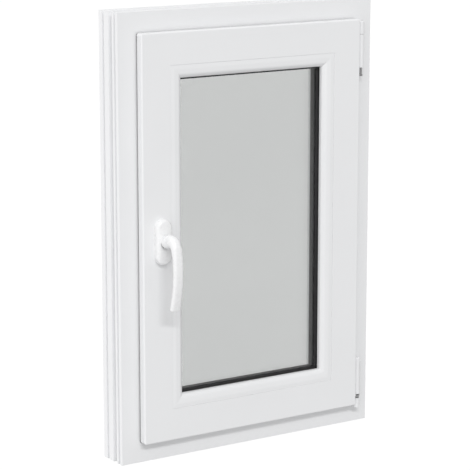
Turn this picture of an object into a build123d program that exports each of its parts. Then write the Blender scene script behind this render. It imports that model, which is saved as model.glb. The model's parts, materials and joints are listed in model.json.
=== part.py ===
"""White PVC-U tilt-and-turn casement window, hinged on the right and opening inwards.

+X right and +Y outwards as seen from the room, +Z up, millimetres. The origin is at the middle
of the sill's seat: mid-width, mid-depth of the frame, on its bottom face.
In a profile's section, `inset` is the distance inwards from the frame's outer edge.
"""

from build123d import *
import math
import os

# Overall size
overall_width = 500.0
overall_height = 750.0
frame_depth = 60.0

# Frame profile
frame_face = 42.0
stop_height = 22.0
stop_depth = 14.5
wall = 2.5

# Sash profile
sash_inset = 34.0
rebate_gap = 12.0
flange_depth = 14.5
flange_gap = 3.5
stop_gap = 3.5
sash_face = 54.0
glazing_leg_width = 22.0
glazing_leg_depth = 19.0
glazing_leg_slope = 8.0
sash_corner_radius = 5.0

# Glass
pane_thickness = 4.0
cavity = 12.0
glass_gasket = 3.0
glass_edge_gap = 7.0
spacer_height = 8.5
edge_seal_height = 10.5

# Hardware groove of the sash
groove_centre_depth = 13.0
faceplate_width = 16.0
faceplate_thickness = 2.5
rod_groove_width = 12.0
rod_groove_depth = 11.0

# Handle and gear
backset = 15.5
rod_travel = 36.0
pinion_teeth = 12
handle_screw_spacing = 43.0
spindle_side = 7.0
rosette_height = 76.0
rosette_width = 30.0
rosette_depth = 12.0
grip_width = 16.0

# Hinges
hinge_inset = 28.0
hinge_stand_off = 11.0
trunnion_height = 49.0
cap_radius = 5.6
barrel_radius = 4.3
swinging_cheek = 8.5
hinge_pin_radius = 2.5
trunnion_radius = 1.5
running_fit = 0.05
stay_length = 188.0

# Screws
screw_radius = 1.9
screw_head_radius = 3.4
screw_head_height = 1.8

# Places worked out from the sizes above
half_width = overall_width / 2
room_face = -frame_depth / 2
outside_face = frame_depth / 2
stop_face = outside_face - stop_depth
flange_back = room_face - flange_gap
sash_front = flange_back - flange_depth
sash_back = stop_face - stop_gap
sash_side = frame_face + rebate_gap
bead_inset = sash_inset + sash_face
leg_inset = bead_inset + glazing_leg_width
leg_front = sash_back - glazing_leg_depth
glass_outside = leg_front - glass_gasket
glass_room = glass_outside - 2 * pane_thickness - cavity
bead_back = glass_room - glass_gasket
glass_inset = bead_inset + glass_edge_gap
spacer_inset = glass_inset + edge_seal_height
bead_nose = glass_room - 6.0
bead_gasket_inset = leg_inset - 1.5
groove_y = flange_back + groove_centre_depth
plate_inset = sash_side + faceplate_thickness
groove_floor = sash_side + rod_groove_depth
spindle_inset = sash_side + backset
spindle_x = -half_width + spindle_inset
handle_z = overall_height / 2
hinge_x = half_width - hinge_inset
hinge_y = room_face - hinge_stand_off
jamb_floor = half_width - frame_face
sash_face_x = half_width - sash_side
head_floor = overall_height - frame_face
sash_top = overall_height - sash_side
rod_outer = plate_inset + 0.5
rod_thickness = 2.4
rod_width = 10.0
pinion_pitch_radius = rod_travel / math.pi
cam_tip = sash_side - 6.6

os.makedirs("parts", exist_ok=True)
nodes = {}


def block(low, high):
    """A box between two opposite corners."""
    size = [b - a for a, b in zip(low, high)]
    middle = [(a + b) / 2 for a, b in zip(low, high)]
    return Pos(*middle) * Box(*size)


def bar(start, direction, radius, length):
    """A round bar that starts at a point and runs along a direction."""
    return Plane(origin=start, z_dir=direction) * Cylinder(
        radius, length, align=(Align.CENTER, Align.CENTER, Align.MIN)
    )


def section(corners, chambers=()):
    """A profile's section in the YZ plane from (inset, y, corner radius) and inner chambers."""
    points = [(y, inset) for inset, y, _ in corners]
    radii = [radius for _, _, radius in corners]
    face = make_face(FilletPolyline(*points, radius=radii, close=True))
    for low_inset, high_inset, low_y, high_y in chambers:
        width = high_y - low_y
        height = high_inset - low_inset
        middle = Pos((low_y + high_y) / 2, (low_inset + high_inset) / 2)
        face -= middle * Rectangle(width, height)
    return Plane.YZ * face


def mitred(face, length):
    """A section run along a side of the window and cut at 45 degrees at both ends."""
    reach = 130.0
    run = extrude(face, amount=length / 2, both=True)
    ends = Plane.XZ * Polygon(
        (-length / 2, 0),
        (length / 2, 0),
        (length / 2 - reach, reach),
        (-length / 2 + reach, reach),
        align=None,
    )
    return run & extrude(ends, amount=frame_depth, both=True)


def on_sides(make):
    """The same member on all four sides, from a function of the side's length."""
    return {
        "bottom": make(overall_width),
        "top": Location((0, 0, overall_height), (0, 180, 0)) * make(overall_width),
        "left": Location((-half_width, 0, overall_height / 2), (0, 90, 0)) * make(overall_height),
        "right": Location((half_width, 0, overall_height / 2), (0, -90, 0)) * make(overall_height),
    }


def ring(face):
    """A section run round the whole window as one piece."""
    sides = on_sides(lambda length: mitred(face, length))
    return sides["bottom"] + sides["top"] + sides["left"] + sides["right"]


def rectangle_ring(low_inset, high_inset, low_y, high_y):
    """A plain rectangular ring between two insets and two depths."""
    outer = block(
        (-half_width + low_inset, low_y, low_inset),
        (half_width - low_inset, high_y, overall_height - low_inset),
    )
    inner = block(
        (-half_width + high_inset, low_y - 1, high_inset),
        (half_width - high_inset, high_y + 1, overall_height - high_inset),
    )
    return outer - inner


def box_tube(length, low_inset, high_inset, low_y, high_y, thickness=1.5):
    """Square-cut box reinforcement, short of the mitres."""
    half = length / 2 - high_inset - wall
    outer = block((-half, low_y, low_inset), (half, high_y, high_inset))
    inner = block(
        (-half - 1, low_y + thickness, low_inset + thickness),
        (half + 1, high_y - thickness, high_inset - thickness),
    )
    return outer - inner


def screw(head_top, direction, length):
    """A pan-head screw that points along a direction from the top of its head."""
    head = bar(head_top, direction, screw_head_radius, screw_head_height)
    shank = bar(head_top, direction, screw_radius, length)
    return head + shank


def drive(screws, head_top, direction, length, through):
    """Adds a screw to a list and cuts its pilot hole in the nodes that it goes through."""
    screws.append(screw(head_top, direction, length))
    start = Vector(*head_top) + Vector(*direction) * screw_head_height
    pilot = bar(start, direction, screw_radius, length)
    for name in through:
        nodes[name] = nodes[name] - pilot


def group(pieces):
    """Separate solids kept in one node."""
    return Compound(children=[solid for piece in pieces for solid in piece.solids()])


# ---------------------------------------------------------------- frame

def frame_section():
    low, high = room_face + wall, outside_face - wall
    stop_inset = frame_face + stop_height
    corners = [
        (0, room_face, 0.8),
        (frame_face, room_face, 1.2),
        (frame_face, stop_face, 0),
        (stop_inset, stop_face, 0.8),
        (stop_inset, outside_face, 1.2),
        (0, outside_face, 0.8),
        (0, 18.5, 0),
        (3, 18.5, 0),
        (3, 12.5, 0),
        (0, 12.5, 0),
        (0, -2, 0),
        (6, -2, 0),
        (6, -13, 0),
        (0, -13, 0),
        (0, -18, 0),
        (3, -18, 0),
        (3, -24, 0),
        (0, -24, 0),
    ]
    inner = frame_face - wall
    chambers = [
        (3 + wall, inner, low, -15.5),
        (6 + wall, inner, -13, 10),
        (3 + wall, inner, 12.5, high),
        (frame_face, stop_inset - wall, stop_face + wall, high),
    ]
    return section(corners, chambers)


def make_frame():
    sides = on_sides(lambda length: mitred(frame_section(), length))
    nodes["frame_sill"] = sides["bottom"]
    nodes["frame_head"] = sides["top"]
    nodes["frame_jamb_left"] = sides["left"]
    nodes["frame_jamb_right"] = sides["right"]
    for x in (-120, 120):
        slot_outside = block((x - 14, outside_face - wall - 1, 20), (x + 14, outside_face + 1, 25))
        slot_rebate = block((x + 20, 0.5, frame_face - wall - 1), (x + 45, 5.5, frame_face + 1))
        nodes["frame_sill"] = nodes["frame_sill"] - slot_outside - slot_rebate
    tube = (9.0, 39.0, -12.5, 9.5)
    steel = on_sides(lambda length: box_tube(length, *tube))
    nodes["frame_steel_rails"] = group([steel["bottom"], steel["top"]])
    nodes["frame_steel_uprights"] = group([steel["left"], steel["right"]])
    seal = [
        (55, stop_face, 0),
        (55.6, sash_back + 0.5, 0.5),
        (60.4, sash_back + 0.5, 0.5),
        (61, stop_face, 0),
    ]
    nodes["frame_gasket"] = ring(section(seal))


# ---------------------------------------------------------------- sash

def sash_section():
    half_plate = faceplate_width / 2
    half_rod = rod_groove_width / 2
    corners = [
        (sash_inset, sash_front, 2.5),
        (bead_inset, sash_front, 0.3),
        (bead_inset, leg_front, 0),
        (leg_inset, leg_front, 0.5),
        (leg_inset, leg_front + 3, 2.0),
        (leg_inset - glazing_leg_slope, sash_back, 1.5),
        (sash_side, sash_back, 1.0),
        (sash_side, groove_y + half_plate, 0),
        (plate_inset, groove_y + half_plate, 0),
        (plate_inset, groove_y + half_rod, 0),
        (groove_floor, groove_y + half_rod, 0),
        (groove_floor, groove_y - half_rod, 0),
        (plate_inset, groove_y - half_rod, 0),
        (plate_inset, groove_y - half_plate, 0),
        (sash_side, groove_y - half_plate, 0),
        (sash_side, flange_back, 0),
        (sash_inset, flange_back, 0.8),
    ]
    inner = bead_inset - wall
    chambers = [
        (sash_inset + wall, inner, sash_front + wall, flange_back - wall),
        (groove_floor + wall, inner, flange_back, -12.5),
        (57, inner, -10, sash_back - wall),
        (bead_inset + wall, leg_inset - glazing_leg_slope - wall, leg_front + wall, sash_back - wall),
    ]
    face = section(corners, chambers)
    bead_slot = Pos(-39, bead_inset - wall / 2) * Rectangle(2.4, wall + 0.2)
    return face - Plane.YZ * bead_slot


def bead_section():
    corners = [
        (bead_inset + 0.1, sash_front + 0.5, 0.3),
        (95, sash_front, 8),
        (104, sash_front + 1.0, 8),
        (110.2, sash_front + 6.0, 5),
        (110.5, bead_nose, 0.3),
        (bead_gasket_inset, bead_nose, 0),
        (bead_gasket_inset, bead_back, 0),
        (bead_inset + 0.1, bead_back, 0),
        (bead_inset + 0.1, -38, 0),
        (84.5, -38, 0),
        (84.5, -40, 0),
        (bead_inset + 0.1, -40, 0),
    ]
    return section(corners)


def rounded_sash_prism():
    width = overall_width - 2 * sash_inset
    height = overall_height - 2 * sash_inset
    outline = Plane.XZ * Pos(0, overall_height / 2) * RectangleRounded(
        width, height, sash_corner_radius
    )
    return extrude(outline, amount=frame_depth + 20, both=True)


def make_sash():
    prism = rounded_sash_prism()
    sides = on_sides(lambda length: mitred(sash_section(), length))
    nodes["sash_bottom_rail"] = sides["bottom"] & prism
    nodes["sash_top_rail"] = sides["top"] & prism
    nodes["sash_stile_left"] = sides["left"] & prism
    nodes["sash_stile_right"] = sides["right"] & prism
    tube = (57.5, 85.0, -9.5, 9.0)
    steel = on_sides(lambda length: box_tube(length, *tube))
    nodes["sash_steel_rails"] = group([steel["bottom"], steel["top"]])
    nodes["sash_steel_uprights"] = group([steel["left"], steel["right"]])
    seal = rectangle_ring(35, 39.5, flange_back, flange_back + 1.5)
    hinge_low = block((200, flange_back - 1, 30), (half_width, room_face, 121))
    hinge_high = block((205, flange_back - 1, 630), (half_width, room_face, 712))
    nodes["sash_gasket"] = seal - hinge_low - hinge_high
    beads = on_sides(lambda length: mitred(bead_section(), length))
    for side, bead in beads.items():
        nodes[f"bead_{side}"] = bead


def make_glass():
    width = overall_width - 2 * glass_inset
    height = overall_height - 2 * glass_inset
    for name, low_y in (
        ("glass_pane_room", glass_room),
        ("glass_pane_outside", glass_outside - pane_thickness),
    ):
        nodes[name] = block(
            (-width / 2, low_y, glass_inset),
            (width / 2, low_y + pane_thickness, glass_inset + height),
        )
    inner_low, inner_high = glass_room + pane_thickness, glass_outside - pane_thickness
    nodes["glass_spacer"] = rectangle_ring(
        spacer_inset, spacer_inset + spacer_height, inner_low, inner_high
    )
    nodes["glass_edge_seal"] = rectangle_ring(glass_inset, spacer_inset, inner_low, inner_high)
    lip = [
        (103, bead_back, 0),
        (bead_gasket_inset, bead_back, 0),
        (bead_gasket_inset, bead_nose, 0),
        (110.4, bead_nose, 0.4),
        (110.8, glass_room - 1.6, 0.5),
        (114, glass_room - 1.2, 0.4),
        (114, glass_room, 0),
        (103, glass_room, 0),
    ]
    nodes["bead_gasket"] = ring(section(lip))
    outer_lip = [
        (100, glass_outside, 0),
        (112, glass_outside, 0),
        (112, glass_outside + 1.2, 0.4),
        (110.2, leg_front, 0),
        (100, leg_front, 0),
    ]
    nodes["glazing_gasket_outer"] = ring(section(outer_lip))
    blocks = []
    block_half = 30.0
    for x in (-95, 95):
        for low_z in (bead_inset, overall_height - glass_inset):
            blocks.append(
                block(
                    (x - block_half, glass_room, low_z),
                    (x + block_half, glass_outside, low_z + glass_edge_gap),
                )
            )
    for z in (200, 550):
        for low_x in (-half_width + bead_inset, half_width - glass_inset):
            blocks.append(
                block(
                    (low_x, glass_room, z - block_half),
                    (low_x + glass_edge_gap, glass_outside, z + block_half),
                )
            )
    nodes["glazing_blocks"] = group(blocks)


# ---------------------------------------------------------------- handle and gear

def rosette(width, height, depth, start_y):
    """An oval plate on the sash's face, from start_y towards the room."""
    plane = Plane(origin=(spindle_x, start_y, handle_z), x_dir=(1, 0, 0), z_dir=(0, -1, 0))
    return extrude(plane * SlotOverall(height, width, rotation=90), amount=depth)


def grip_outline():
    """The lever's side outline in the YZ plane, from the neck to the blunt tip."""
    corners = [
        (-62, handle_z + 12, 0),
        (-80, handle_z + 16, 15),
        (-97, handle_z + 12, 16),
        (-103, handle_z - 35, 110),
        (-92, handle_z - 109, 3),
        (-84, handle_z - 107, 3),
        (-92, handle_z - 40, 80),
        (-86, handle_z - 9, 12),
        (-62, handle_z - 8, 0),
    ]
    points = [(y, z) for y, z, _ in corners]
    radii = [radius for _, _, radius in corners]
    return Plane.YZ * make_face(FilletPolyline(*points, radius=radii, close=True))


def make_lever():
    grip = Pos(spindle_x, 0, 0) * extrude(grip_outline(), amount=grip_width / 2, both=True)
    side_edges = grip.edges().filter_by(Plane.YZ)
    grip = chamfer(side_edges, 2.2)
    neck = bar((spindle_x, sash_front - 2.5, handle_z), (0, -1, 0), 8.0, 22)
    side = spindle_side + 0.1
    socket = block(
        (spindle_x - side / 2, -75, handle_z - side / 2),
        (spindle_x + side / 2, -40, handle_z + side / 2),
    )
    nodes["handle_lever"] = grip + neck - socket
    half = spindle_side / 2
    nodes["handle_spindle"] = block(
        (spindle_x - half, -74, handle_z - half), (spindle_x + half, -16, handle_z + half)
    )


def make_pinion():
    plane = Plane(origin=(spindle_x, groove_y + 2.5, handle_z), x_dir=(1, 0, 0), z_dir=(0, -1, 0))
    root, tip = 9.8, 12.6
    half_at_pitch, flank = 1.0, math.tan(math.radians(25))
    half_root = half_at_pitch + (pinion_pitch_radius - root) * flank
    half_tip = half_at_pitch - (tip - pinion_pitch_radius) * flank
    tooth = Polygon(
        (root - 2, -half_root), (root, -half_root), (tip, -half_tip),
        (tip, half_tip), (root, half_root), (root - 2, half_root), align=None,
    )
    wheel = Circle(root)
    for number in range(pinion_teeth):
        wheel += Rot(0, 0, 180 + number * 360 / pinion_teeth) * tooth
    gear = extrude(plane * wheel, amount=5)
    hub = bar((spindle_x, groove_y + 5.3, handle_z), (0, -1, 0), 6.0, 10.6)
    side = spindle_side + 0.1
    hole = block(
        (spindle_x - side / 2, -60, handle_z - side / 2),
        (spindle_x + side / 2, 0, handle_z + side / 2),
    )
    nodes["gear_pinion"] = gear + hub - hole


def make_gear_case():
    half = rod_groove_width / 2 - 0.2
    left = -half_width + rod_outer + rod_thickness + 0.4
    right = -half_width + bead_inset - wall - 0.7
    case = block((left, groove_y - half, handle_z - 38), (right, groove_y + half, handle_z + 38))
    room = bar((spindle_x, groove_y + 3, handle_z), (0, -1, 0), 13.6, 6)
    bearing = bar((spindle_x, 0, handle_z), (0, -1, 0), 6.0 + running_fit, 60)
    nodes["gear_case"] = case - room - bearing


def make_handle():
    plate_depth = 3.0
    neck_hole = bar((spindle_x, 0, handle_z), (0, -1, 0), 8.4, 80)
    base = rosette(rosette_width - 4.6, rosette_height - 4.6, plate_depth, sash_front)
    nodes["handle_base"] = base - neck_hole
    cover = rosette(rosette_width, rosette_height, rosette_depth, sash_front)
    front_edges = cover.edges().group_by(Axis.Y)[0]
    cover = fillet(front_edges, 4.5)
    hollow = rosette(rosette_width - 4, rosette_height - 4, rosette_depth - 2, sash_front + 0.01)
    nodes["handle_cover"] = cover - hollow - neck_hole
    make_lever()
    make_pinion()
    make_gear_case()
    half = rod_groove_width / 2
    pocket = block(
        (-half_width + sash_side - 1, groove_y - half, handle_z - 39),
        (-half_width + bead_inset - wall, groove_y + half, handle_z + 39),
    )
    spindle_hole = bar((spindle_x, groove_y, handle_z), (0, -1, 0), 7.5, 60)
    nodes["sash_stile_left"] = nodes["sash_stile_left"] - pocket - spindle_hole
    screws = []
    for offset in (-handle_screw_spacing / 2, handle_screw_spacing / 2):
        head_top = (spindle_x, sash_front - plate_depth - screw_head_height, handle_z + offset)
        through = ["handle_base", "sash_stile_left", "gear_case"]
        drive(screws, head_top, (0, 1, 0), 32, through)
    nodes["handle_screws"] = group(screws)


# ---------------------------------------------------------------- drive rods and faceplates

left_cams = (240.0, 510.0)
rail_cam_x = -60.0
screw_pull = 25.0


def cam_roller(point, direction):
    """A roller that stands out of the faceplate on its rod's pin."""
    roller = bar(point, direction, 4.0, 6.0)
    return roller - bar(point, direction, hinge_pin_radius + running_fit, 6.0)


def cam_pin(point, direction):
    return bar(point, direction, hinge_pin_radius, cam_reach)


cam_reach = rod_outer - cam_tip + 0.2


def make_left_rod():
    x = -half_width + rod_outer
    half = rod_width / 2
    rod = block((x, groove_y - half, 195), (x + rod_thickness, groove_y + half, 590))
    pitch = 2 * math.pi * pinion_pitch_radius / pinion_teeth
    for number in range(-2, 9):
        z = handle_z + number * pitch
        window = block((x - 1, groove_y - 3.2, z - 2.25), (x + 4, groove_y + 3.2, z + 2.25))
        rod -= window
    rollers = []
    for z in left_cams:
        rod += cam_pin((x + 0.2, groove_y, z), (-1, 0, 0))
        rollers.append(cam_roller((-half_width + sash_side - 0.4, groove_y, z), (-1, 0, 0)))
    nodes["drive_rod_left"] = rod
    nodes["roller_cams_left"] = group(rollers)


def make_rail_rod(name, side, low_x, high_x):
    """The top or bottom rod; side is +1 at the top and -1 at the bottom."""
    def height(inset):
        return overall_height - inset if side > 0 else inset
    half = rod_width / 2
    levels = sorted((height(rod_outer), height(rod_outer + rod_thickness)))
    rod = block((low_x, groove_y - half, levels[0]), (high_x, groove_y + half, levels[1]))
    rod += cam_pin((rail_cam_x, groove_y, height(rod_outer + 0.2)), (0, 0, side))
    nodes[f"drive_rod_{name}"] = rod
    roller_foot = (rail_cam_x, groove_y, height(sash_side - 0.4))
    nodes[f"roller_cam_{name}"] = cam_roller(roller_foot, (0, 0, side))


def cam_slot(point_low, point_high, half_size):
    """A slot through a faceplate for a cam's pin, as a box between two places."""
    low = [a - b for a, b in zip(point_low, half_size)]
    high = [a + b for a, b in zip(point_high, half_size)]
    return block(low, high)


def make_gear_faceplate():
    x = -half_width + sash_side
    half = faceplate_width / 2 - 0.1
    plate = block(
        (x, groove_y - half, 130), (x + faceplate_thickness, groove_y + half, 620)
    )
    for z in left_cams:
        plate -= cam_slot((x, groove_y, z - rod_travel), (x, groove_y, z), (5, 3.2, 3.2))
    nodes["gear_faceplate"] = plate


def make_rail_faceplate(name, side, travel):
    z = overall_height - sash_side if side > 0 else sash_side
    low_z, high_z = sorted((z, z - side * faceplate_thickness))
    half = faceplate_width / 2 - 0.1
    plate = block((-119, groove_y - half, low_z), (185, groove_y + half, high_z))
    ends = sorted((rail_cam_x, rail_cam_x + travel))
    plate -= cam_slot((ends[0], groove_y, z), (ends[1], groove_y, z), (3.2, 3.2, 5))
    nodes[f"{name}_faceplate"] = plate


def make_corner_drive(name, side):
    """An L-shaped faceplate and guide at the handle side's corner; side is +1 at the top."""
    def height(inset):
        return overall_height - inset if side > 0 else inset
    x = -half_width + sash_side
    half_plate = faceplate_width / 2 - 0.1
    half_guide = rod_groove_width / 2 - 0.2

    def leg(half, low_x, high_x, inset_a, inset_b):
        low_z, high_z = sorted((height(inset_a), height(inset_b)))
        return block((low_x, groove_y - half, low_z), (high_x, groove_y + half, high_z))

    thick = faceplate_thickness
    guide = groove_floor - 0.2
    reach = 76.0
    body = leg(half_plate, x, x + thick, sash_side, sash_side + reach - 0.5)
    body += leg(half_plate, x, x + reach - 0.5, sash_side, sash_side + thick)
    body += leg(half_guide, x, -half_width + guide, sash_side, sash_side + 56)
    body += leg(half_guide, x, x + 56, sash_side, guide)
    nodes[f"corner_drive_{name}"] = body


def make_gear():
    make_left_rod()
    make_rail_rod("top", 1, -90, 20)
    make_rail_rod("bottom", -1, -126, 10)
    make_gear_faceplate()
    make_rail_faceplate("top", 1, -rod_travel)
    make_rail_faceplate("bottom", -1, rod_travel)
    make_corner_drive("top", 1)
    make_corner_drive("bottom", -1)
    guide_slot = block((30.5, groove_y - 4.5, sash_top - 5), (52, groove_y + 4.5, sash_top + 5))
    nodes["top_faceplate"] = nodes["top_faceplate"] - guide_slot


# ---------------------------------------------------------------- strikers

striker_thickness = 2.5
striker_lip = 4.5


def make_strikers():
    pieces = []
    for z in left_cams:
        low_x = -jamb_floor
        plate = block((low_x, groove_y - 8, z - 50), (low_x + striker_thickness, groove_y + 8, z + 12))
        lip = block(
            (low_x, groove_y - 8, z - 12), (low_x + striker_lip, groove_y - 5.2, z + 12)
        )
        pieces.append(plate + lip)
    top_plate = block(
        (rail_cam_x - 50, groove_y - 8, head_floor - striker_thickness),
        (rail_cam_x + 12, groove_y + 8, head_floor),
    )
    top_lip = block(
        (rail_cam_x - 12, groove_y - 8, head_floor - striker_lip),
        (rail_cam_x + 12, groove_y - 5.2, head_floor),
    )
    pieces.append(top_plate + top_lip)
    nodes["locking_strikers"] = group(pieces)
    plate = block(
        (rail_cam_x - 12, groove_y - 8, frame_face),
        (rail_cam_x + 50, groove_y + 8, frame_face + striker_thickness),
    )
    hook = block(
        (rail_cam_x - 12, groove_y - 8, frame_face),
        (rail_cam_x + 12, groove_y - 5.2, frame_face + striker_lip),
    )
    tilt_stop = block(
        (rail_cam_x + 28, groove_y - 8, frame_face),
        (rail_cam_x + 50, groove_y - 5.2, frame_face + striker_lip),
    )
    nodes["tilt_striker"] = plate + hook + tilt_stop


# ---------------------------------------------------------------- hinges

def post(radius, low_z, high_z):
    """A round bar on the hinge's upright axis."""
    return bar((hinge_x, hinge_y, low_z), (0, 0, 1), radius, high_z - low_z)


def cap(low_z, high_z, back_y, rounded_top=True):
    """A cover round the hinge axis with flat cheeks that run back towards the frame."""
    front = post(cap_radius, low_z, high_z)
    cheeks = block(
        (hinge_x - cap_radius, hinge_y, low_z), (hinge_x + cap_radius, back_y, high_z)
    )
    body = front + cheeks
    if rounded_top:
        body = fillet(body.faces().sort_by(Axis.Z)[-1].edges(), 2.0)
    return body


def make_corner_bearing():
    low_z, high_z = 30.5, 45.3
    gap_front, gap_back = flange_back + 1.3, room_face - 0.2
    bearing = post(barrel_radius, low_z, high_z)
    web = block((hinge_x - 2.2, hinge_y, low_z), (hinge_x + 2.2, gap_back, high_z))
    crank = block((203, gap_front, 41.5), (hinge_x, gap_back, high_z))
    elbow = block((jamb_floor - 2.3, gap_front, 42.2), (jamb_floor, -20, 56))
    jamb_leg = block((jamb_floor - 2.3, room_face, 42.2), (jamb_floor, -9, 105))
    sill_leg = block((150, -28.5, frame_face), (jamb_floor, -9, frame_face + 2.3))
    body = bearing + web + crank + elbow + jamb_leg + sill_leg
    body -= post(hinge_pin_radius + running_fit, low_z + 1, high_z + 1)
    nodes["corner_bearing"] = body
    shell = cap(30, 45.4, gap_back, rounded_top=False)
    shell -= post(barrel_radius + 0.1, 30, 50)
    shell -= block((hinge_x - 2.3, hinge_y, 30), (hinge_x + 2.3, room_face, 50))
    shell -= block((200, gap_front - 0.1, 41.4), (hinge_x, room_face, 50))
    floor = cap(29, 30, gap_back, rounded_top=False)
    nodes["corner_bearing_cap"] = shell + floor


def make_swivel():
    low_z = 45.9
    spigot = post(hinge_pin_radius, 31.8, low_z + 1)
    head = block(
        (hinge_x - 2.9, hinge_y - 2.9, low_z), (hinge_x + 2.9, hinge_y + 2.9, 51.5)
    )
    head = fillet(head.edges().filter_by(Axis.X).group_by(Axis.Z)[-1], 2.0)
    trunnion = bar((hinge_x - 5.2, hinge_y, trunnion_height), (1, 0, 0), trunnion_radius, 10.4)
    nodes["swivel_pin"] = spigot + head + trunnion


def make_hinge_strap():
    lug_radius = 2.9
    lugs = None
    for low_x in (hinge_x - 5.2, hinge_x + 3.2):
        lug = bar((low_x, hinge_y, trunnion_height), (1, 0, 0), lug_radius, 2.0)
        lug += block(
            (low_x, hinge_y - lug_radius, trunnion_height),
            (low_x + 2.0, hinge_y + lug_radius, 56),
        )
        lugs = lug if lugs is None else lugs + lug
    spine = block((hinge_x - 5.2, hinge_y - 2.9, 53), (hinge_x + 5.2, hinge_y + 2.9, 112))
    web = block((hinge_x - 5.2, hinge_y, 60), (hinge_x - 1, flange_back + 2.1, 112))
    crank = block((sash_face_x, flange_back, 60), (hinge_x - 1, flange_back + 2.1, 112))
    leg = block((sash_face_x, flange_back, 60), (sash_face_x + 2.4, 2, 112))
    body = lugs + spine + web + crank + leg
    body -= bar(
        (hinge_x - 10, hinge_y, trunnion_height), (1, 0, 0), trunnion_radius + running_fit, 20
    )
    nodes["hinge_strap"] = body
    shell = cap(53, 119, hinge_y + swinging_cheek)
    spine_room = block(
        (hinge_x - 5.3, hinge_y - 3.0, 50), (hinge_x + 5.3, hinge_y + 3.0, 112.2)
    )
    web_room = block((200, hinge_y, 50), (hinge_x - 0.9, flange_back + 2.2, 112.2))
    nodes["hinge_strap_cap"] = shell - spine_room - web_room


def make_stay_bearing():
    low_z, high_z = 634.0, 689.0
    gap_front, gap_back = flange_back + 0.9, room_face - 0.2
    body = post(barrel_radius, low_z, high_z)
    body += block((hinge_x - 2.2, hinge_y, low_z), (hinge_x + 2.2, gap_back, high_z))
    body += block((203, gap_front, 640), (hinge_x, gap_back, 682))
    body += block((jamb_floor - 2.3, gap_front, 640), (jamb_floor, -5, 682))
    body -= post(hinge_pin_radius, low_z - 1, high_z + 1)
    nodes["stay_bearing"] = body
    pin = post(hinge_pin_radius, 619, 709)
    pin += post(hinge_pin_radius + 0.9, 618, 621)
    nodes["stay_bearing_pin"] = pin
    shell = cap(633, 689.6, gap_back, rounded_top=False)
    shell -= post(barrel_radius + 0.1, 630, 700)
    shell -= block((hinge_x - 2.3, hinge_y, 630), (hinge_x + 2.3, room_face, 700))
    shell -= block((200, gap_front - 0.1, 639.9), (hinge_x, room_face, 682.1))
    nodes["stay_bearing_cap"] = shell


def make_stay_arm():
    low_z, high_z = 690.2, 709.0
    gap_front, gap_back = flange_back + 0.4, room_face - 0.6
    bar_low, bar_high = sash_top + 3, sash_top + 5.5
    inner_x = jamb_floor - 1.0
    body = post(barrel_radius, low_z, high_z)
    body += block((hinge_x - 2.2, hinge_y, 697), (hinge_x + 2.2, gap_back, 707))
    body += block((inner_x - 2.4, gap_front, 697), (hinge_x, gap_back, 707))
    body += block((inner_x - 2.4, gap_front, 697), (inner_x, -14, 707))
    guide_x = hinge_x - stay_length
    body += block((guide_x - 7, groove_y - 6.5, bar_low), (inner_x, groove_y + 6.5, bar_high))
    body += bar((guide_x, groove_y, bar_high), (0, 0, -1), 2.2, bar_high - 686)
    body -= post(hinge_pin_radius + running_fit, low_z - 1, high_z + 1)
    nodes["stay_arm"] = body
    shell = cap(690.2, 712, hinge_y + swinging_cheek)
    shell -= post(barrel_radius + 0.1, 680, 709.5)
    shell -= block((hinge_x - 2.3, hinge_y, 680), (hinge_x + 2.3, room_face, 709.5))
    shell -= block((200, gap_front - 0.1, 696.9), (hinge_x, room_face, 707.1))
    nodes["stay_knuckle_cap"] = shell


# ---------------------------------------------------------------- screws

def make_screws():
    frame_screws = []
    head = screw_head_height
    right, left = (1, 0, 0), (-1, 0, 0)
    up, down = (0, 0, 1), (0, 0, -1)
    jamb_nodes = ["frame_jamb_right", "frame_steel_uprights"]
    for z in (65, 92):
        at = (jamb_floor - 2.3 - head, -15, z)
        drive(frame_screws, at, right, screw_pull, ["corner_bearing"] + jamb_nodes)
    at = (165, -15, frame_face + 2.3 + head)
    drive(frame_screws, at, down, screw_pull, ["corner_bearing", "frame_sill"])
    for z in (650, 672):
        at = (jamb_floor - 2.3 - head, -10.5, z)
        drive(frame_screws, at, right, screw_pull, ["stay_bearing"] + jamb_nodes)
    for z in left_cams:
        for offset in (-44, -28):
            at = (-jamb_floor + striker_thickness + head, groove_y, z + offset)
            drive(frame_screws, at, left, screw_pull, ["locking_strikers", "frame_jamb_left"])
    for offset in (-44, -28):
        at = (rail_cam_x + offset, groove_y, head_floor - striker_thickness - head)
        drive(frame_screws, at, up, screw_pull, ["locking_strikers", "frame_head"])
    for offset in (24, 44):
        at = (rail_cam_x + offset, groove_y, frame_face + striker_thickness + head)
        drive(frame_screws, at, down, screw_pull, ["tilt_striker", "frame_sill"])
    nodes["frame_hardware_screws"] = group(frame_screws)

    sash_screws = []
    plate_x = -half_width + sash_side - 0.1
    for z, plate in ((137, "gear_faceplate"), (613, "gear_faceplate")):
        drive(sash_screws, (plate_x, groove_y, z), right, screw_pull, [plate, "sash_stile_left"])
    for x in (60, 175):
        at = (x, groove_y, sash_top + 0.1)
        drive(sash_screws, at, down, screw_pull, ["top_faceplate", "sash_top_rail"])
        at = (x, groove_y, sash_side - 0.1)
        drive(sash_screws, at, up, screw_pull, ["bottom_faceplate", "sash_bottom_rail"])
    for side, name in ((1, "top"), (-1, "bottom")):
        z = sash_top + 0.1 if side > 0 else sash_side - 0.1
        rail = f"sash_{name}_rail"
        at = (-134, groove_y, z)
        drive(sash_screws, at, (0, 0, -side), screw_pull, [f"corner_drive_{name}", rail])
    for z in (75, 97):
        at = (sash_face_x + 2.4 + head, -4, z)
        through = ["hinge_strap", "sash_stile_right", "sash_steel_uprights"]
        drive(sash_screws, at, left, screw_pull, through)
    nodes["sash_hardware_screws"] = group(sash_screws)


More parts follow.
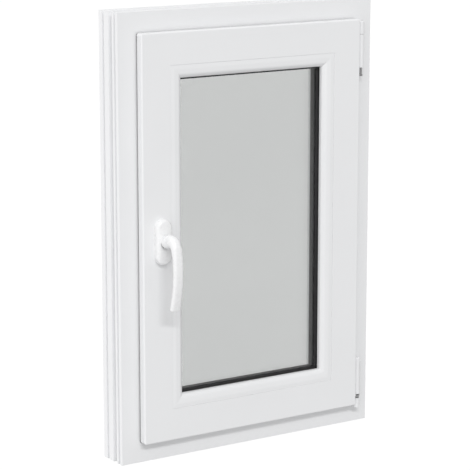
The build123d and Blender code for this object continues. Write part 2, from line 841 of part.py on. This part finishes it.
def sink_heads():
    """Countersinks the faceplate screws so that their heads lie flush."""
    heads = nodes["sash_hardware_screws"]
    for name in ("gear_faceplate", "top_faceplate", "bottom_faceplate",
                 "corner_drive_top", "corner_drive_bottom"):
        nodes[name] = nodes[name] - heads


make_frame()
make_sash()
make_glass()
make_handle()
make_gear()
make_strikers()
make_corner_bearing()
make_swivel()
make_hinge_strap()
make_stay_bearing()
make_stay_arm()
make_screws()
sink_heads()

for node_name, shape in nodes.items():
    export_step(shape, f"parts/{node_name}.step")
print(len(nodes), "nodes written")
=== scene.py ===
import json
import math

import bmesh
import bpy
from mathutils import Matrix, Vector


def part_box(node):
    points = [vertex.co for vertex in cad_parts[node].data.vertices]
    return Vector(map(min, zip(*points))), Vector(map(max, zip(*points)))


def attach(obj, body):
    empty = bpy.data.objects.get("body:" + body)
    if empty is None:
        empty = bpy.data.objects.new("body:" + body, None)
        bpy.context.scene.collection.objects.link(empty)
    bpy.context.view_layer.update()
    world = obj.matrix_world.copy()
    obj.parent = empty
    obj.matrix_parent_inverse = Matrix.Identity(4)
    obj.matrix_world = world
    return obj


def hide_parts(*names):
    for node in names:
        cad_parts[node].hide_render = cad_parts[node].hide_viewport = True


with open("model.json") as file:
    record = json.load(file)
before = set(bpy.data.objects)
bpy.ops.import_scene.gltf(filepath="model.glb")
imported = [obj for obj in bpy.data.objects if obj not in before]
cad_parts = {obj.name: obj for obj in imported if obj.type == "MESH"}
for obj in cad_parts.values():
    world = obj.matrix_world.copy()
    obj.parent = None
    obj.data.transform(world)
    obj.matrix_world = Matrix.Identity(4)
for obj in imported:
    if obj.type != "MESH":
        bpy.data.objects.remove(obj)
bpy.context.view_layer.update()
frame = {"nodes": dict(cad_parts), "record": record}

nodes = frame["nodes"]
MM = 0.001

# Places read from the frame
half_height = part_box("frame_head")[1].z / 2
cover_low, cover_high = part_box("handle_cover")
spindle_x = (cover_low.x + cover_high.x) / 2
spindle_z = (cover_low.z + cover_high.z) / 2
sash_front = cover_high.y


# ---------------------------------------------------------------- camera and light

FOCAL_LENGTH = 154.66
CAMERA_YAW = math.radians(32.949)
CAMERA_PITCH = math.radians(11.754)
CAMERA_PLACE = (-1.8319, -2.8146, 1.0561)
SURROUND_LEVEL = 0.745
SURROUND_SLOPE = (-0.28, 0.20, 0.13)
KEY_DISTANCE = 12.0
KEY_TRAVEL = Vector((0.33, 1.0, -0.82)).normalized()
KEY_WIDTH = 7.0
KEY_HEIGHT = 0.7
KEY_STRENGTH = 1.22
FLOOR_REACH = 40.0
FLOOR_GREY = 0.12
FLOOR_GLOW = 0.92


def make_camera():
    data = bpy.data.cameras.new("camera")
    data.lens = FOCAL_LENGTH
    data.sensor_width = 36.0
    data.clip_end = 200
    camera = bpy.data.objects.new("camera", data)
    camera.location = CAMERA_PLACE
    camera.rotation_euler = (math.pi / 2 - CAMERA_PITCH, 0, -CAMERA_YAW)
    bpy.context.scene.collection.objects.link(camera)
    bpy.context.scene.camera = camera


def make_world():
    """A soft white surround, brighter to the left, above and behind."""
    world = bpy.data.worlds.new("studio")
    bpy.context.scene.world = world
    world.use_nodes = True
    tree = world.node_tree
    tree.nodes.clear()
    coordinates = tree.nodes.new("ShaderNodeTexCoord")
    slope = tree.nodes.new("ShaderNodeVectorMath")
    slope.operation = "DOT_PRODUCT"
    slope.inputs[1].default_value = SURROUND_SLOPE
    level = tree.nodes.new("ShaderNodeMath")
    level.operation = "ADD"
    level.inputs[1].default_value = SURROUND_LEVEL
    background = tree.nodes.new("ShaderNodeBackground")
    background.inputs["Color"].default_value = (1.0, 1.0, 1.0, 1)
    output = tree.nodes.new("ShaderNodeOutputWorld")
    tree.links.new(coordinates.outputs["Generated"], slope.inputs[0])
    tree.links.new(slope.outputs["Value"], level.inputs[0])
    tree.links.new(level.outputs[0], background.inputs["Strength"])
    tree.links.new(background.outputs[0], output.inputs["Surface"])


def make_key_light():
    """A wide, low strip far up in front, so upright edges throw softer shadows than level ones."""
    data = bpy.data.lights.new("key", "AREA")
    data.shape = "RECTANGLE"
    data.size = KEY_WIDTH
    data.size_y = KEY_HEIGHT
    data.energy = KEY_STRENGTH * math.pi * KEY_DISTANCE ** 2
    key = bpy.data.objects.new("key", data)
    key.location = Vector((0, 0, half_height)) - KEY_TRAVEL * KEY_DISTANCE
    key.rotation_mode = "QUATERNION"
    key.rotation_quaternion = KEY_TRAVEL.to_track_quat("-Z", "Y")
    bpy.context.scene.collection.objects.link(key)


def make_floor():
    """A pale floor, bright enough that the window's shadow on it stays faint."""
    signs = ((-1, -1), (1, -1), (1, 1), (-1, 1))
    mesh = bpy.data.meshes.new("floor")
    mesh.from_pydata([(FLOOR_REACH * a, FLOOR_REACH * b, 0) for a, b in signs], [], [(0, 1, 2, 3)])
    floor = bpy.data.objects.new("floor", mesh)
    bpy.context.scene.collection.objects.link(floor)
    floor.visible_diffuse = False
    material, _, shader = new_material("floor")
    shader.inputs["Base Color"].default_value = (FLOOR_GREY, FLOOR_GREY, FLOOR_GREY, 1)
    shader.inputs["Roughness"].default_value = 0.9
    shader.inputs["Specular IOR Level"].default_value = 0.0
    shader.inputs["Emission Color"].default_value = (1, 1, 1, 1)
    shader.inputs["Emission Strength"].default_value = FLOOR_GLOW
    mesh.materials.append(material)


# ---------------------------------------------------------------- materials

def new_material(name):
    material = bpy.data.materials.new(name)
    material.use_nodes = True
    tree = material.node_tree
    return material, tree, tree.nodes["Principled BSDF"]


def place_coordinates(tree, stretch=(1, 1, 1)):
    """Object coordinates in metres, scaled by axis."""
    coordinates = tree.nodes.new("ShaderNodeTexCoord")
    mapping = tree.nodes.new("ShaderNodeMapping")
    mapping.inputs["Scale"].default_value = stretch
    tree.links.new(coordinates.outputs["Object"], mapping.inputs["Vector"])
    return mapping.outputs["Vector"]


def noise(tree, vector, scale, detail):
    node = tree.nodes.new("ShaderNodeTexNoise")
    node.inputs["Scale"].default_value = scale
    node.inputs["Detail"].default_value = detail
    tree.links.new(vector, node.inputs["Vector"])
    return node.outputs["Fac"]


def ramp(tree, factor, low, high, start=0.3, end=0.7):
    """A colour that runs from low to high as the factor runs from start to end."""
    node = tree.nodes.new("ShaderNodeValToRGB")
    node.color_ramp.elements[0].position = start
    node.color_ramp.elements[1].position = end
    node.color_ramp.elements[0].color = (*low, 1)
    node.color_ramp.elements[1].color = (*high, 1)
    tree.links.new(factor, node.inputs["Fac"])
    return node.outputs["Color"]


def spread(tree, factor, low, high):
    """A number that runs from low to high as the factor runs from 0.25 to 0.75."""
    node = tree.nodes.new("ShaderNodeMapRange")
    node.inputs["From Min"].default_value = 0.25
    node.inputs["From Max"].default_value = 0.75
    node.inputs["To Min"].default_value = low
    node.inputs["To Max"].default_value = high
    tree.links.new(factor, node.inputs["Value"])
    return node.outputs["Result"]


def bump(tree, shader, height, distance, strength):
    node = tree.nodes.new("ShaderNodeBump")
    node.inputs["Distance"].default_value = distance
    node.inputs["Strength"].default_value = strength
    tree.links.new(height, node.inputs["Height"])
    tree.links.new(node.outputs["Normal"], shader.inputs["Normal"])


def pvc_material(name, stretch):
    """Extruded white PVC-U: satin, its gloss faintly streaked along the profile, with fine grain."""
    material, tree, shader = new_material(name)
    plain = place_coordinates(tree)
    drawn = place_coordinates(tree, stretch)
    white = ramp(tree, noise(tree, plain, 9, 3), (0.85, 0.855, 0.865), (0.865, 0.87, 0.88))
    tree.links.new(white, shader.inputs["Base Color"])
    tree.links.new(spread(tree, noise(tree, drawn, 90, 1), 0.28, 0.33), shader.inputs["Roughness"])
    bump(tree, shader, noise(tree, plain, 1400, 2), 0.008 * MM, 0.4)
    shader.inputs["IOR"].default_value = 1.53
    return material


def moulded_material(name, low, high, roughness):
    """Moulded or coated surface with a fine orange peel."""
    material, tree, shader = new_material(name)
    vector = place_coordinates(tree)
    tree.links.new(ramp(tree, noise(tree, vector, 40, 3), low, high), shader.inputs["Base Color"])
    rough_low, rough_high = roughness
    tree.links.new(
        spread(tree, noise(tree, vector, 120, 2), rough_low, rough_high), shader.inputs["Roughness"]
    )
    bump(tree, shader, noise(tree, vector, 900, 2), 0.012 * MM, 0.4)
    return material


def metal_material(name, low, high, roughness, stretch, scale):
    """Bare or plated metal, with brushing where the coordinates are stretched."""
    material, tree, shader = new_material(name)
    vector = place_coordinates(tree, stretch)
    plain = place_coordinates(tree)
    tree.links.new(ramp(tree, noise(tree, plain, 90, 4), low, high), shader.inputs["Base Color"])
    rough_low, rough_high = roughness
    tree.links.new(
        spread(tree, noise(tree, vector, scale, 3), rough_low, rough_high),
        shader.inputs["Roughness"],
    )
    bump(tree, shader, noise(tree, vector, scale, 2), 0.02 * MM, 0.5)
    shader.inputs["Metallic"].default_value = 1.0
    return material


def galvanised_material():
    """Hot-dip zinc with its spangle."""
    material, tree, shader = new_material("galvanised_steel")
    vector = place_coordinates(tree)
    cells = tree.nodes.new("ShaderNodeTexVoronoi")
    cells.inputs["Scale"].default_value = 220
    tree.links.new(vector, cells.inputs["Vector"])
    grey = tree.nodes.new("ShaderNodeSeparateColor")
    tree.links.new(cells.outputs["Color"], grey.inputs["Color"])
    colour = ramp(tree, grey.outputs[0], (0.5, 0.52, 0.54), (0.66, 0.68, 0.7), 0.0, 1.0)
    tree.links.new(colour, shader.inputs["Base Color"])
    tree.links.new(spread(tree, grey.outputs[1], 0.38, 0.52), shader.inputs["Roughness"])
    bump(tree, shader, cells.outputs["Distance"], 0.03 * MM, 0.4)
    shader.inputs["Metallic"].default_value = 1.0
    return material


def rubber_material(name, low, high):
    """Extruded black seal: matt, with a faint dusty bloom and fine grain."""
    material, tree, shader = new_material(name)
    vector = place_coordinates(tree)
    tree.links.new(ramp(tree, noise(tree, vector, 70, 4), low, high), shader.inputs["Base Color"])
    tree.links.new(spread(tree, noise(tree, vector, 300, 2), 0.5, 0.68), shader.inputs["Roughness"])
    bump(tree, shader, noise(tree, vector, 2500, 2), 0.02 * MM, 0.5)
    return material


def glass_material():
    """Float glass, tinted a near-neutral grey, with soft smears in its gloss."""
    material, tree, shader = new_material("window_glass")
    vector = place_coordinates(tree)
    tint = ramp(tree, noise(tree, vector, 3, 2), (0.725, 0.732, 0.729), (0.735, 0.742, 0.739))
    tree.links.new(tint, shader.inputs["Base Color"])
    tree.links.new(spread(tree, noise(tree, vector, 14, 4), 0.0, 0.012), shader.inputs["Roughness"])
    shader.inputs["Transmission Weight"].default_value = 1.0
    shader.inputs["IOR"].default_value = 1.5
    return material


def make_materials():
    """The finishes, by material slot, with profiles and faceplates split by the way they run."""
    made = {}
    for name, stretch in (("pvc_upright", (1, 1, 0.04)), ("pvc_rail", (0.04, 1, 1))):
        made[name] = pvc_material(name, stretch)
    for name, low, high, roughness in (
        ("cap_plastic", (0.83, 0.835, 0.845), (0.85, 0.855, 0.865), (0.28, 0.36)),
        ("handle_coating", (0.885, 0.888, 0.893), (0.895, 0.898, 0.903), (0.24, 0.32)),
        ("block_plastic", (0.10, 0.20, 0.42), (0.13, 0.25, 0.48), (0.45, 0.55)),
        ("spacer_black", (0.012, 0.0125, 0.013), (0.018, 0.0185, 0.019), (0.5, 0.62)),
    ):
        made[name] = moulded_material(name, low, high, roughness)
    for name, low, high in (
        ("edge_sealant", (0.02, 0.02, 0.021), (0.03, 0.03, 0.031)),
        ("seal_rubber", (0.011, 0.011, 0.012), (0.02, 0.02, 0.021)),
    ):
        made[name] = rubber_material(name, low, high)
    made["galvanised_steel"] = galvanised_material()
    steel = ((0.46, 0.46, 0.455), (0.56, 0.56, 0.555))
    zinc = ((0.42, 0.42, 0.43), (0.52, 0.52, 0.53))
    # hinge pins: a darker copy of the hardware steel, partly the pins' own tone and partly painted
    # shade of the shadowed gap between the hinge caps
    dark = ((0.27, 0.27, 0.275), (0.35, 0.35, 0.355))
    for name, (low, high), roughness, stretch, scale in (
        ("hardware_steel", steel, (0.28, 0.42), (1, 1, 1), 700),
        ("hardware_upright", steel, (0.26, 0.42), (1, 1, 0.03), 700),
        ("hardware_rail", steel, (0.26, 0.42), (0.03, 1, 1), 700),
        ("zinc_casting", zinc, (0.42, 0.58), (1, 1, 1), 400),
        ("dark_pin_steel", dark, (0.4, 0.55), (1, 1, 1), 700),
    ):
        made[name] = metal_material(name, low, high, roughness, stretch, scale)
    made["window_glass"] = glass_material()
    return made


def dress(materials):
    """Gives every CAD node its material, by its slot and by the way its profile runs."""
    uprights = ("jamb", "stile", "bead_left", "bead_right")
    for part in frame["record"]["subparts"]:
        name, slot = part["node"], part["material_slot"]
        if slot == "pvc_profile":
            key = "pvc_upright" if any(word in name for word in uprights) else "pvc_rail"
        elif name in ("gear_faceplate", "drive_rod_left"):
            key = "hardware_upright"
        elif name in ("top_faceplate", "bottom_faceplate", "drive_rod_top", "drive_rod_bottom"):
            key = "hardware_rail"
        else:
            key = slot
        mesh = nodes[name].data
        mesh.materials.clear()
        mesh.materials.append(materials[key])


# ---------------------------------------------------------------- pieces

def new_piece(name, body, material, verts, faces, subdivide=0):
    """A smooth-shaded object that rides a body."""
    mesh = bpy.data.meshes.new(name)
    mesh.from_pydata(verts, [], faces)
    mesh.validate()
    build = bmesh.new()
    build.from_mesh(mesh)
    bmesh.ops.recalc_face_normals(build, faces=build.faces)
    build.to_mesh(mesh)
    build.free()
    mesh.materials.append(material)
    for polygon in mesh.polygons:
        polygon.use_smooth = True
    piece = bpy.data.objects.new(name, mesh)
    bpy.context.scene.collection.objects.link(piece)
    if subdivide:
        modifier = piece.modifiers.new("smooth", "SUBSURF")
        modifier.levels = subdivide
        modifier.render_levels = subdivide
    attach(piece, body)
    return piece


def lofted(rings, closed=True):
    """Vertices and faces of a skin through rings with equal numbers of points."""
    count = len(rings[0])
    last = (len(rings) - 1) * count
    verts = [tuple(point) for ring in rings for point in ring]
    faces = []
    for a in range(0, last, count):
        b = a + count
        for i in range(count):
            j = (i + 1) % count
            faces.append((a + i, a + j, b + j, b + i))
    if closed:
        faces.append(tuple(range(count)))
        faces.append(tuple(range(last, last + count)))
    return verts, faces


def superellipse(half_a, half_b, power, count):
    """Points round a rounded shape between an ellipse (power 2) and a box."""
    points = []
    for i in range(count):
        angle = 2 * math.pi * i / count
        c, s = math.cos(angle), math.sin(angle)
        a = half_a * math.copysign(abs(c) ** (2 / power), c)
        b = half_b * math.copysign(abs(s) ** (2 / power), s)
        points.append((a, b))
    return points


def round_ended(half_wide, half_tall, count):
    """Points round an upright shape with straight sides and half-round ends."""
    straight = half_tall - half_wide
    points = []
    for i in range(count):
        angle = 2 * math.pi * (i + 0.5) / count
        c, s = math.cos(angle), math.sin(angle)
        points.append((half_wide * c, half_wide * s + math.copysign(straight, s)))
    return points


def make_rosette(material):
    """The domed oval cover behind the lever, open where the neck passes through."""
    half_wide = (cover_high.x - cover_low.x) / 2
    half_tall = (cover_high.z - cover_low.z) / 2
    depth = cover_high.y - cover_low.y
    count = 72
    upright_share = 0.45
    shoulder_share = 0.93
    shoulder_inset = 5.2 * MM
    shoulder_steps = 10
    crown_steps = 4
    hole = 8.6 * MM
    hole_lip = 2 * MM

    def ring(wide, tall, y):
        return [(spindle_x + a, y, spindle_z + b) for a, b in round_ended(wide, tall, count)]

    rings = [
        ring(half_wide, half_tall, cover_high.y - depth * upright_share * share)
        for share in (0.0, 0.5, 1.0)
    ]
    for step in range(1, shoulder_steps + 1):
        angle = math.pi / 2 * step / shoulder_steps
        inset = shoulder_inset * (1 - math.cos(angle))
        rise = depth * (upright_share + (shoulder_share - upright_share) * math.sin(angle))
        rings.append(ring(half_wide - inset, half_tall - inset, cover_high.y - rise))
    for step in range(1, crown_steps + 1):
        share = step / crown_steps
        wide = (half_wide - shoulder_inset) * (1 - share) + hole * share
        tall = (half_tall - shoulder_inset) * (1 - share) + hole * share
        rise = depth * (shoulder_share + (1 - shoulder_share) * math.sin(share * math.pi / 2))
        rings.append(ring(wide, tall, cover_high.y - rise))
    rings.append(ring(hole, hole, cover_low.y + hole_lip))
    verts, faces = lofted(rings, closed=False)
    piece = new_piece("rosette_cover", "sash", material, verts, faces)
    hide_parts("handle_cover")


def along(path, share):
    """A point on a Catmull-Rom curve through a list of equal tuples, share from 0 to 1."""
    position = share * (len(path) - 1)
    index = min(int(position), len(path) - 2)
    t = position - index
    before = path[max(index - 1, 0)]
    start, end = path[index], path[index + 1]
    after = path[min(index + 2, len(path) - 1)]
    return tuple(
        0.5 * (2 * b + (c - a) * t + (2 * a - 5 * b + 4 * c - d) * t * t
               + (3 * b - a - 3 * c + d) * t ** 3)
        for a, b, c, d in zip(before, start, end, after)
    )


def make_lever(material):
    """The handle's lever: a round neck that bends into a bowed grip with a blunt end."""
    # y and z from the spindle's axis on the sash's face, then half width and half thickness, in mm
    path = [
        (-3.0, 0.0, 8.1, 8.1),
        (-12.5, 0.4, 8.3, 8.8),
        (-13.5, 0.9, 9.3, 10.4),
        (-20.0, 3.4, 9.3, 10.8),
        (-29.0, 5.6, 9.0, 10.4),
        (-38.0, 4.4, 8.7, 9.0),
        (-45.0, -5.0, 8.4, 7.2),
        (-48.6, -19.0, 8.2, 6.0),
        (-50.0, -37.0, 8.1, 5.4),
        (-49.6, -55.0, 8.1, 5.1),
        (-47.6, -73.0, 8.2, 5.0),
        (-44.4, -90.0, 8.4, 4.9),
        (-40.4, -106.0, 8.7, 4.8),
    ]
    rows = 72
    count = 40
    reach = 0.01
    neck_power = 2.0
    grip_power = 3.2
    neck_share = 0.3
    grip_share = 0.6

    def ring(y, z, wide, thick, power, direction, beyond=0.0):
        """An outline across the path, beyond the point by so many mm."""
        across = Vector((1, 0, 0)).cross(direction)
        centre = Vector((spindle_x, sash_front + y * MM, spindle_z + z * MM))
        centre += direction * (beyond * MM)
        return [
            centre + Vector((a * MM, 0, 0)) + across * (b * MM)
            for a, b in superellipse(wide, thick, power, count)
        ]

    rings = []
    for row in range(rows + 1):
        share = row / rows
        ahead = along(path, min(share + reach, 1))
        behind = along(path, max(share - reach, 0))
        direction = Vector((0, ahead[0] - behind[0], ahead[1] - behind[1])).normalized()
        blend = min(max(share - neck_share, 0) / (grip_share - neck_share), 1)
        power = neck_power + (grip_power - neck_power) * blend
        rings.append(ring(*along(path, share), power, direction))
    y, z, wide, thick = path[-1]
    direction = Vector((0, path[-1][0] - path[-2][0], path[-1][1] - path[-2][1])).normalized()
    for beyond, shrink in ((0.7, 0.3), (1.2, 0.9), (1.4, 1.8), (1.5, 3.6)):
        rings.append(ring(y, z, wide - shrink, thick - shrink, grip_power, direction, beyond))
    verts, faces = lofted(rings)
    piece = new_piece("lever", "handle", material, verts, faces, subdivide=1)
    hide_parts("handle_lever")


def islands(mesh):
    """The separate closed parts of a mesh, as lists of vertex positions."""
    parent = list(range(len(mesh.vertices)))

    def root(i):
        while parent[i] != i:
            parent[i] = parent[parent[i]]
            i = parent[i]
        return i

    for edge in mesh.edges:
        a, b = (root(v) for v in edge.vertices)
        parent[a] = b
    seats = {}
    for vertex in mesh.vertices:
        key = tuple(round(c, 6) for c in vertex.co)
        if key in seats:
            a, b = root(seats[key]), root(vertex.index)
            parent[a] = b
        else:
            seats[key] = vertex.index
    groups = {}
    for vertex in mesh.vertices:
        groups.setdefault(root(vertex.index), []).append(vertex.co.copy())
    return sorted(groups.values(), key=lambda group: tuple(round(c, 4) for c in group[0]))


def screw_shape(head_radius, head_height, radius, length):
    """A pan-head screw with a cross recess and a thread, head top at the origin, along -Z."""
    count = 32
    angles = [2 * math.pi * i / count for i in range(count)]
    recess_reach = 0.62 * head_radius
    recess_half_slot = 0.16 * head_radius
    flat_share = 0.75
    flat_drop = 0.03
    edge_drop = 0.6
    pitch = 1.4 * MM
    root_share = 0.82
    crest_share = 0.99

    def star(scale, z):
        """The recess's cross-shaped outline."""
        points = []
        for angle in angles:
            c, s = abs(math.cos(angle)), abs(math.sin(angle))
            reach = min(recess_reach / max(c, s), recess_half_slot / max(min(c, s), 0.12))
            points.append((scale * reach * math.cos(angle), scale * reach * math.sin(angle), z))
        return points

    def circle(r, z):
        return [(r * math.cos(angle), r * math.sin(angle), z) for angle in angles]

    rings = [
        star(0.4, -head_height * 0.8),
        star(0.9, -head_height * 0.1),
        star(1.0, 0.0),
        circle(head_radius * flat_share, -head_height * flat_drop),
    ]
    for bend in (math.radians(30), math.radians(60), math.radians(90)):
        r = head_radius * (flat_share + (1 - flat_share) * math.sin(bend))
        rings.append(circle(r, -head_height * (flat_drop + edge_drop * (1 - math.cos(bend)))))
    rings.append(circle(head_radius, -head_height))
    z = -head_height
    while z > -length + pitch:
        rings.append(circle(radius * root_share, z))
        rings.append(circle(radius * crest_share, z - pitch / 2))
        z -= pitch
    rings.append(circle(radius * 0.7, -length + 0.4 * pitch))
    rings.append(circle(radius * 0.1, -length))
    return lofted(rings)


def make_screws(node, body, material):
    """Detailed screws in the places of a CAD node's plain ones."""
    head_height = 1.8 * MM
    shank_radius = 1.9 * MM
    head_least_radius = 2.5 * MM
    end_margin = 0.01 * MM
    verts, faces = [], []
    for group in islands(nodes[node].data):
        low = Vector(tuple(min(p[i] for p in group) for i in range(3)))
        high = Vector(tuple(max(p[i] for p in group) for i in range(3)))
        size = high - low
        middle = (low + high) / 2
        axis = max(range(3), key=lambda i: size[i])
        side, other = (axis + 1) % 3, (axis + 2) % 3
        low_end = [p for p in group if abs(p[axis] - low[axis]) < end_margin]
        head_at_low = max(abs(p[side] - middle[side]) for p in low_end) > head_least_radius
        top = middle.copy()
        top[axis] = low[axis] if head_at_low else high[axis]
        outward = Vector((0, 0, 0))
        outward[axis] = -1 if head_at_low else 1
        head_radius = max(size[side], size[other]) / 2
        shape_verts, shape_faces = screw_shape(head_radius, head_height, shank_radius, size[axis])
        start = len(verts)
        # each screw's cross stands at its own angle
        spin = Matrix.Rotation(0.7 * start, 4, "Z")
        turn = outward.to_track_quat("Z", "Y").to_matrix().to_4x4()
        place = Matrix.Translation(top) @ turn @ spin
        verts += [tuple(place @ Vector(v)) for v in shape_verts]
        faces += [tuple(start + i for i in face) for face in shape_faces]
    piece = new_piece(node + "_detailed", body, material, verts, faces)
    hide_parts(node)


make_camera()
make_world()
make_key_light()
make_floor()
bpy.context.scene.view_settings.view_transform = "Standard"

finishes = make_materials()
dress(finishes)
make_rosette(finishes["handle_coating"])
make_lever(finishes["handle_coating"])
for screws, body in (
    ("frame_hardware_screws", "frame"),
    ("sash_hardware_screws", "sash"),
    ("handle_screws", "sash"),
):
    make_screws(screws, body, finishes["hardware_steel"])
